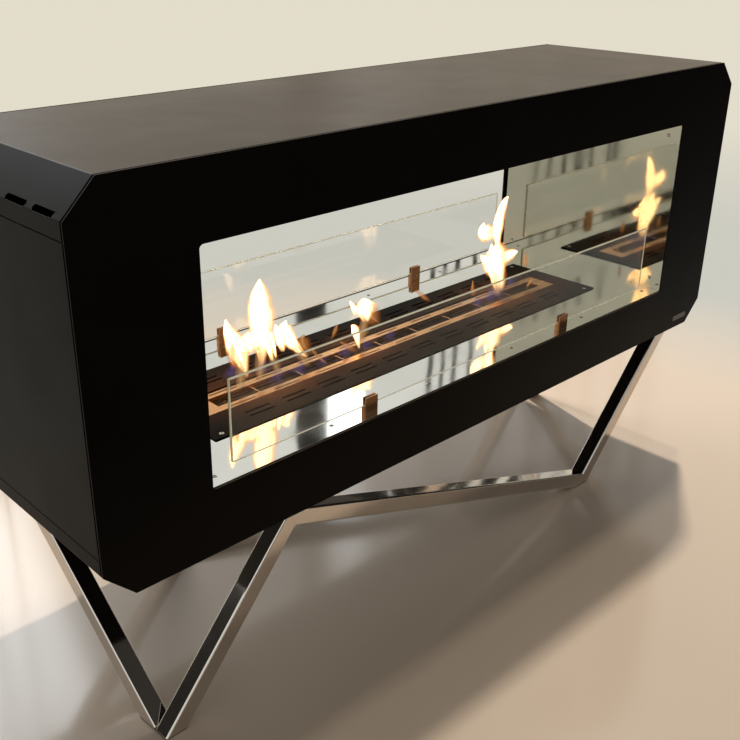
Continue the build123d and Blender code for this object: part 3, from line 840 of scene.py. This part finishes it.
# Each flame is a set of tongues; each tongue is the points of its spine, in millimetres, as
# (along X, above the wool, half width).
FLAMES = {
    "flame_left": [
        [(-296, 40, 2.5), (-294, 63, 6.9), (-293, 84, 13), (-292, 105, 14.5), (-294, 130, 15.1),
         (-296, 152, 12.9), (-296, 168, 8.4), (-295, 183, 1.2)],
        [(-274, 43, 1.9), (-279, 62, 3.7), (-285, 80, 6.5), (-288, 98, 7.6)],
        [(-267, 46, 1.2), (-271, 66, 2.3), (-277, 90, 4.6)],
        [(-326, 32, 2.1), (-328, 50, 5.2), (-335, 70, 10.6), (-343, 89, 11.1), (-352, 108, 8),
         (-357, 122, 4.7), (-360, 135, 1.2)],
        [(-344, 81, 6.7), (-331, 85, 9.8), (-316, 86, 11.4), (-300, 88, 10.7)],
        [(-202, 28, 1.9), (-217, 43, 3.8), (-231, 61, 6.9), (-243, 78, 9.7), (-248, 91, 8.4),
         (-244, 102, 1.2)],
        [(-250, 51, 2.5), (-254, 68, 5.3), (-261, 87, 5.3), (-266, 101, 1.2)],
    ],
    "flame_middle": [
        [(-70, 53, 4.4), (-70, 66, 10.9), (-70, 78, 15.1), (-68, 88, 12.5), (-66, 92, 4.2)],
        [(-91, 73, 5), (-100, 86, 3.6), (-109, 100, 1)],
        [(-88, 9, 1.4), (-92, 26, 3.4), (-95, 42, 6), (-100, 51, 3.7), (-105, 56, 1)],
    ],
    "flame_right": [
        [(286, 22, 6.7), (285, 37, 12.1), (281, 60, 14.5), (274, 80, 20.9), (271, 94, 22.7),
         (269, 106, 15.1), (265, 114, 3.8)],
        [(289, 84, 9.5), (310, 85, 8.4), (325, 87, 6.2), (336, 89, 1.4)],
        [(256, 86, 9.4), (239, 94, 6), (226, 104, 1.3)],
        [(261, 96, 8.7), (258, 109, 5.6), (255, 120, 1.3)],
        [(277, 97, 8.5), (276, 119, 5.5), (273, 137, 8.2), (275, 156, 10.1), (280, 176, 8.6),
         (288, 194, 5.9), (296, 204, 1.5)],
        [(271, 141, 7.9), (250, 142, 9.3), (236, 147, 10.7), (230, 156, 8.4), (230, 166, 1.5)],
    ],
    "wisps": [
        [(-346, 50, 4.5), (-349, 66, 7.5), (-350, 81, 8.2), (-348, 94, 3)],
        [(-196, 32, 3.2), (-206, 47, 9.6), (-212, 61, 8), (-208, 69, 1.3)],
        [(-159, 1, 1.2), (-179, 21, 2), (-193, 38, 3.2)],
        [(-36, 40, 3.4), (-48, 53, 11.9), (-58, 66, 13.5), (-66, 79, 5)],
        [(-150, 43, 1.6), (-143, 52, 3.9), (-139, 59, 4.3), (-136, 66, 1)],
        [(-90, 4, 2), (-109, 17, 4.4), (-123, 28, 2.7), (-132, 35, 0.8)],
        [(93, 47, 1.8), (77, 59, 3.9), (63, 70, 3.5), (51, 79, 1.1)],
        [(211, 29, 4.7), (210, 43, 4.7), (209, 59, 1.1)],
        [(371, 47, 3.9), (368, 62, 6.7), (369, 77, 1.4)],
        [(377, 4, 3.6), (386, 12, 4), (395, 19, 1.4)],
    ],
    "feet": [
        [(-340, 16, 4), (-338, 30, 8), (-334, 50, 10), (-333, 74, 8)],
        [(-303, 16, 4), (-300, 30, 8), (-297, 50, 10), (-295, 74, 8)],
        [(-264, 14, 3), (-267, 30, 6), (-273, 48, 7), (-280, 70, 6)],
        [(-200, 10, 3), (-207, 22, 6), (-218, 38, 7), (-230, 58, 5)],
        [(-86, 14, 4), (-81, 28, 8), (-74, 44, 10), (-69, 64, 9)],
        [(284, 8, 7), (284, 22, 12), (282, 40, 15), (279, 62, 13)],
    ],
    "blues": [
        [(-297, 28, 7.8), (-294, 39, 9.3), (-294, 49, 4.6)],
        [(-354, 36, 7.5), (-352, 47, 9), (-349, 58, 4.5)],
        [(-69, 1, 10.2), (-69, 10, 8.5), (-72, 20, 1.7)],
        [(-10, 3, 10.5), (-11, 12, 8.7), (-11, 22, 1.7)],
        [(288, 3, 11.6), (287, 18, 14.5), (285, 33, 7.7)],
        [(327, 18, 9.8), (323, 30, 7.8), (318, 41, 1.9)],
        [(-258, 1, 10), (-262, 12, 11), (-268, 26, 3)],
        [(-222, 1, 9), (-218, 10, 10), (-212, 22, 3)],
        [(-165, 1, 8), (-168, 9, 8), (-171, 18, 2)],
        [(-118, 1, 9), (-116, 12, 9), (-112, 26, 2)],
        [(226, 1, 9), (229, 10, 9), (233, 20, 2)],
        [(262, 2, 9), (264, 14, 11), (266, 30, 3)],
    ],
}


def curve_point(points, t):
    """A point at t, from nought to one, on a smooth curve through the given points."""
    last = len(points) - 1
    span = min(int(t * last), last - 1)
    u = t * last - span
    p0, p1, p2, p3 = (Vector(points[max(0, min(last, span + k))]) for k in (-1, 0, 1, 2))
    smooth = (2 * p1) + (p2 - p0) * u + (2 * p0 - 5 * p1 + 4 * p2 - p3) * u**2
    return 0.5 * (smooth + (3 * p1 - p0 - 3 * p2 + p3) * u**3)


def tongue(bm, flow, spine, foot, width, quarter, shift):
    """A sheet of flame along a spine that may lean or hook over; quarter 1 turns it square on."""
    steps = STEPS_PER_POINT * (len(spine) - 1)
    places = [curve_point(spine, i / steps) * MILLIMETRE for i in range(steps + 1)]
    rows = []
    for i, (x, z, half) in enumerate(places):
        before, after = places[max(0, i - 1)], places[min(steps, i + 1)]
        rise = Vector((after[0] - before[0], 0, after[1] - before[1])).normalized()
        across = Vector((0, 1, 0)) if quarter else Vector((rise.z, 0, -rise.x))
        bulge = rise.cross(across)
        row = []
        for k in range(TONGUE_COLUMNS + 1):
            side = 2 * k / TONGUE_COLUMNS - 1
            ripple = noise.noise(
                Vector((RIPPLES[0] * side + OTHER_RIPPLE * quarter, RIPPLES[1] * x, RIPPLES[2] * z))
            )
            reach = max(half, THINNEST) * width * (1 + RIPPLE * ripple)
            middle = Vector((x, shift, foot + z)) + bulge * (CURL * reach * (1 - side**2))
            row.append((bm.verts.new(middle + across * (side * reach)), (1 - abs(side), i / steps)))
        rows.append(row)
    for lower, upper in zip(rows, rows[1:]):
        for k in range(TONGUE_COLUMNS):
            corners = (lower[k], lower[k + 1], upper[k + 1], upper[k])
            face = bm.faces.new([vertex for vertex, _ in corners])
            face.material_index = quarter
            for loop, (_, place_in_flow) in zip(face.loops, corners):
                loop[flow].uv = place_in_flow


# Each flame material: its colours from rim to core, its share of the flames' light, its
# opacity, and how far in from the rim its core begins.
FLAME_LOOKS = {
    "flame": (("rim", "body", "core"), 1.0, 1.0, 0.46),
    "flame_core": (("core", "core", "core"), 1.0, 1.0, 0.46),
    "wisp": (("rim", "rim", "body"), 0.19, 0.50, 1.1),
    "flame_foot": (("rim", "body", "core"), 0.17, 0.40, 1.2),
    "blue_flame": (("blue", "blue", "blue"), 0.2, 0.20, 0.9),
}
# Each group's materials, for the sheets that face the front and for those turned square on,
# and its width over the spines' own.
BRIGHT = ("flame", "flame_core", 1.9)
FAINT = {
    "wisps": ("wisp", "wisp", 1.5),
    "feet": ("flame_foot", "flame_foot", 1.5),
    "blues": ("blue_flame", "blue_flame", 2.1),
}


class FIREPLACE_OT_flames(bpy.types.Operator):
    """Raise the flames over the trough, with their wisps and low blue flames"""

    bl_idname = "fireplace.flames"
    bl_label = "Flames"

    def execute(self, context):
        fire = context.scene.fireplace_fire
        foot = place("ceramic_wool", 1, 2)
        materials = {}
        for name, (tones, light, opacity, solid) in FLAME_LOOKS.items():
            colours = [getattr(fire, tone) for tone in tones]
            materials[name] = flame_material(name, colours, fire.strength * light, opacity, solid)
        for name, spines in FLAMES.items():
            facing, turned_on, width = FAINT.get(name, BRIGHT)
            bm = bmesh.new()
            flow = bm.loops.layers.uv.new(FLOW)
            for i, spine in enumerate(spines):
                tongue(bm, flow, spine, foot, width, 0, TONGUE_GAP * i)
                tongue(bm, flow, spine, foot, width * fire.depth, 1, TONGUE_GAP * i)
            piece = new_piece(name, bm, BURNER)
            for look in (facing, turned_on):
                piece.data.materials.append(materials[look].data)
            piece.visible_shadow = False
        return {"FINISHED"}


# --- Stage ---
def stage_piece(name, bm, material):
    """Turn a bmesh into a piece of the stage."""
    mesh = bpy.data.meshes.new(name)
    bm.to_mesh(mesh)
    bm.free()
    mesh.materials.append(material.data)
    return new_object(name, mesh)


def seen_directly(nodes):
    """One where a camera, mirror or glass ray looks, nought where light is gathered."""
    path = nodes.add("LightPath").outputs
    seen = nodes.math("MAXIMUM", path["Is Camera Ray"], path["Is Glossy Ray"])
    return nodes.math("MAXIMUM", seen, path["Is Transmission Ray"])


FLOOR_RADIUS = 14.0
FADE_CENTRE = (0.0, -0.2, 0.0)
FADE = (0.98, 1.6)  # the floor gives way to the background between these distances
HORIZON = (2.4, 4.5)  # and takes the background's own colour between these


def floor_material(stage):
    """Pale glazed floor with a very faint mottle, which fades into the background far off."""
    floor = Material("pale_floor")
    nodes = floor.nodes
    mottle = nodes.remap(nodes.noise(floor.position, 1.6, 4.0, 0.6), 0.3, 0.7)
    floor.set(
        Base_Color=nodes.blend(mottle, rgba(stage.floor), rgba(stage.floor, 0.96)),
        Roughness=nodes.remap(mottle, 0, 1, stage.floor_roughness, stage.floor_roughness + 0.05),
    )
    away = nodes.add("VectorMath", {0: floor.position, 1: FADE_CENTRE}, operation="DISTANCE")
    distance = away.outputs["Value"]
    far = nodes.times(nodes.remap(distance, *FADE), seen_directly(nodes))
    tint = nodes.blend(nodes.remap(distance, *HORIZON), rgba(stage.near_wall), rgba(stage.wall))
    floor.give_way(far, nodes.add("Emission", {"Color": tint, "Strength": 1.0}))
    return floor


# Dark boards that only mirrors see, facing the fireplace: (lowest, highest), then (x, y, width).
BOARDS = (
    ((0.0, 1.0), ((-0.41, 0.80, 0.010), (-0.48, 0.80, 0.012), (-0.56, 0.80, 0.014),
                  (-0.63, 0.80, 0.010), (-0.72, 0.80, 0.014), (-0.85, 0.80, 0.012))),
    ((0.0, 0.9), ((-1.14, 1.12, 0.016), (-1.40, 1.10, 0.022))),
    ((0.30, 1.15), ((-2.38, 1.35, 0.62),)),
    ((0.9, 3.2), ((1.65, 2.11, 0.145),)),
    ((0.05, 2.6), ((2.13, 1.79, 0.022), (2.18, 1.76, 0.018), (2.23, 1.73, 0.022), (2.29, 1.68, 0.020),
                   (2.40, 1.60, 0.030), (2.46, 1.57, 0.020), (2.61, 1.49, 0.050), (2.74, 1.42, 0.040),
                   (2.86, 1.36, 0.045), (3.01, 1.28, 0.055), (3.14, 1.18, 0.045))),
    ((0.0, 0.8), ((1.78, 1.34, 0.40), (2.04, 1.22, 0.05), (2.13, 1.17, 0.04), (2.22, 1.13, 0.05),
                  (2.31, 1.08, 0.035), (2.40, 1.04, 0.05), (2.50, 0.99, 0.04))),
    ((1.2, 4.2), ((0.30, -2.20, 4.40),)),
    ((0.0, 3.4), ((4.60, -2.70, 4.60),)),
)
# A dark cloth in front, just above the floor, that only mirrors see: painted shade, standing for the
# shadowed floor in front.
SHADE_CLOTH = ((-1.6, -7.0, 0.001), (9.0, -7.0, 0.001), (9.0, -0.68, 0.001), (-1.6, -0.68, 0.001))


def dark_boards():
    """Dark boards round the stage, and a dark cloth of painted shade in front, for the steel and the
    coat to mirror.
    """
    bm = bmesh.new()
    for (low, high), row in BOARDS:
        for x, y, width in row:
            across = Vector((-y, x, 0)).normalized() * (width / 2)
            feet = (Vector((x, y, low)) - across, Vector((x, y, low)) + across)
            heads = (feet[1] + UP * (high - low), feet[0] + UP * (high - low))
            bm.faces.new([bm.verts.new(corner) for corner in heads + feet][::-1])
    # The cloth: painted shade in the mirrors' view of the floor in front.
    bm.faces.new([bm.verts.new(corner) for corner in SHADE_CLOTH])
    black = Material("dark_board")
    nodes = black.nodes
    grain = black.effect("fine_grain", Grains_per_metre=300.0)
    dull = nodes.blend(grain["Mottle"], (0.006, 0.006, 0.006, 1), (0.014, 0.012, 0.010, 1))
    black.set(Base_Color=dull, Roughness=0.9)
    black.give_way(nodes.add("NewGeometry").outputs["Backfacing"], nodes.add("BsdfTransparent"))
    boards = stage_piece("dark_boards", bm, black)
    for ray in ("camera", "diffuse", "transmission", "volume_scatter", "shadow"):
        setattr(boards, f"visible_{ray}", False)


# Lamps: (name, location, aim, size, share of a power, that power's name, tint).
WARM = (1.0, 0.91, 0.80)
COOL = (0.93, 0.97, 1.0)
LAMPS = (
    ("key_far", (1.83, 0.50, 3.2), (0.0, 0.0, 0.4), (0.12, 0.12), 1.0, "key_power", WARM),
    ("key_near", (1.31, 0.16, 3.2), (0.0, 0.0, 0.4), (0.12, 0.12), 0.195, "key_power", WARM),
    ("fill", (-0.15, 3.6, 2.75), (-0.3, 0.0, 0.0), (2.1, 1.4), 1.0, "fill_power", COOL),
    ("window", (2.24, 2.49, 2.25), (-0.26, -0.16, 0.37), (0.20, 0.62), 1.0, "window_power", COOL),
)
# Light that the flames throw: (name, along X, above the wool, share of the glow).
GLOWS = (("left", -0.296, 0.075, 1.0), ("middle", -0.08, 0.055, 0.35), ("right", 0.282, 0.075, 0.8))
GLOW_RADIUS = 0.012
FIRELIGHT = (1.0, 0.46, 0.15)
DAYLIGHT = (1.0, 0.955, 0.90, 1)
# The camera, solved from the straight edges in the photograph. Its axes point right, up and back.
CAMERA_PLACE = (-1.14219, -1.08700, 1.02950)
CAMERA_AXES = (
    (0.728744, -0.684771, 0.004512),
    (0.272432, 0.295958, 0.915527),
    (-0.628262, -0.665956, 0.402231),
)
CAMERA_SHIFT = (0.0316, -0.0253)
SENSOR_WIDTH = 36.0


def lay_floor(stage):
    """A wide round floor."""
    bm = bmesh.new()
    bmesh.ops.create_circle(bm, cap_ends=True, radius=FLOOR_RADIUS, segments=96)
    floor = stage_piece("floor", bm, floor_material(stage))


def set_lamps(stage):
    """Soft rectangular lamps, each turned to its aim."""
    for name, location, aim, size, part, power, tint in LAMPS:
        data = bpy.data.lights.new(name, "AREA")
        data.shape = "RECTANGLE"
        data.size, data.size_y = size
        data.energy = getattr(stage, power) * part
        data.color = tint
        lamp = new_object(name, data)
        lamp.location = location
        lamp.rotation_euler = (Vector(aim) - Vector(location)).to_track_quat("-Z", "Y").to_euler()


def set_glows(fire):
    """Small warm lamps within the flames, which no camera or mirror sees."""
    for name, x, rise, part in GLOWS:
        data = bpy.data.lights.new(f"glow_{name}", "POINT")
        data.energy = fire.glow_power * part
        data.color = FIRELIGHT
        data.shadow_soft_size = GLOW_RADIUS
        glow = new_object(f"glow_{name}", data)
        glow.location = (x, 0.0, place("ceramic_wool", 1, 2) + rise)
        for ray in ("camera", "glossy", "transmission"):
            setattr(glow, f"visible_{ray}", False)


def set_background(scene, stage):
    """Soft light from all round, and a pale background that only the eye and mirrors see."""
    world = bpy.data.worlds.new("studio")
    world.use_nodes = True
    nodes = Nodes(world.node_tree)
    world.node_tree.nodes.clear()
    direction = nodes.add("TexCoord").outputs["Generated"]
    upward = nodes.axes(direction)["Z"]
    pale = nodes.blend(nodes.remap(upward, 0.02, 0.45), rgba(stage.wall), rgba(stage.ceiling))
    background = nodes.add("Background", {"Color": pale, "Strength": 1.0})
    light = nodes.add("Background", {"Color": DAYLIGHT, "Strength": stage.world_light})
    shaders = {0: seen_directly(nodes), 1: light.outputs[0], 2: background.outputs[0]}
    mix = nodes.add("MixShader", shaders)
    nodes.put(nodes.add("OutputWorld").inputs["Surface"], mix.outputs[0])
    scene.world = world


def set_camera(scene, stage):
    """The camera at the photograph's viewing angle."""
    data = bpy.data.cameras.new("camera")
    data.lens = stage.lens
    data.sensor_width = SENSOR_WIDTH
    data.shift_x, data.shift_y = CAMERA_SHIFT
    camera = new_object("camera", data)
    turn = Matrix(CAMERA_AXES).transposed().to_4x4()
    camera.matrix_world = Matrix.Translation(CAMERA_PLACE) @ turn
    scene.camera = camera


class FIREPLACE_OT_stage(bpy.types.Operator):
    """Lay the pale floor and set the lamps, the dark boards, the background and the camera"""

    bl_idname = "fireplace.stage"
    bl_label = "Stage"

    def execute(self, context):
        scene = context.scene
        stage = scene.fireplace_stage
        lay_floor(stage)
        dark_boards()
        set_lamps(stage)
        set_glows(scene.fireplace_fire)
        set_background(scene, stage)
        set_camera(scene, stage)
        scene.view_settings.view_transform = "Standard"
        return {"FINISHED"}


# --- Panel, registration and run ---
class FIREPLACE_PT_panel(bpy.types.Panel):
    """Sizes, colours and steps of the fireplace"""

    bl_idname = "FIREPLACE_PT_panel"
    bl_label = "Fireplace"
    bl_space_type = "VIEW_3D"
    bl_region_type = "UI"
    bl_category = "Fireplace"

    def draw(self, context):
        layout = self.layout
        for operator in OPERATORS:
            layout.operator(operator.bl_idname)
        for group_name in GROUPS:
            group = getattr(context.scene, group_name)
            box = layout.box()
            for key in group.__annotations__:
                box.prop(group, key)


GROUPS = {
    "fireplace_finish": FireplaceFinish,
    "fireplace_fittings": FireplaceFittings,
    "fireplace_fire": FireplaceFire,
    "fireplace_stage": FireplaceStage,
}
OPERATORS = (
    FIREPLACE_OT_stage,
    FIREPLACE_OT_casing,
    FIREPLACE_OT_firebox,
    FIREPLACE_OT_stand,
    FIREPLACE_OT_burner,
    FIREPLACE_OT_wool,
    FIREPLACE_OT_glass,
    FIREPLACE_OT_screws,
    FIREPLACE_OT_bare_plate,
    FIREPLACE_OT_flames,
)


def register():
    """Register the properties, the operators and the panel."""
    for name, group in GROUPS.items():
        bpy.utils.register_class(group)
        setattr(bpy.types.Scene, name, PointerProperty(type=group))
    for operator in OPERATORS:
        bpy.utils.register_class(operator)
    bpy.utils.register_class(FIREPLACE_PT_panel)


def unregister():
    """Take away what register added."""
    bpy.utils.unregister_class(FIREPLACE_PT_panel)
    for operator in reversed(OPERATORS):
        bpy.utils.unregister_class(operator)
    for name, group in GROUPS.items():
        delattr(bpy.types.Scene, name)
        bpy.utils.unregister_class(group)


def main():
    """Run every step in order."""
    register()
    build_groups()
    for operator in OPERATORS:
        module, step = operator.bl_idname.split(".")
        getattr(getattr(bpy.ops, module), step)()


if __name__ == "__main__":
    main()
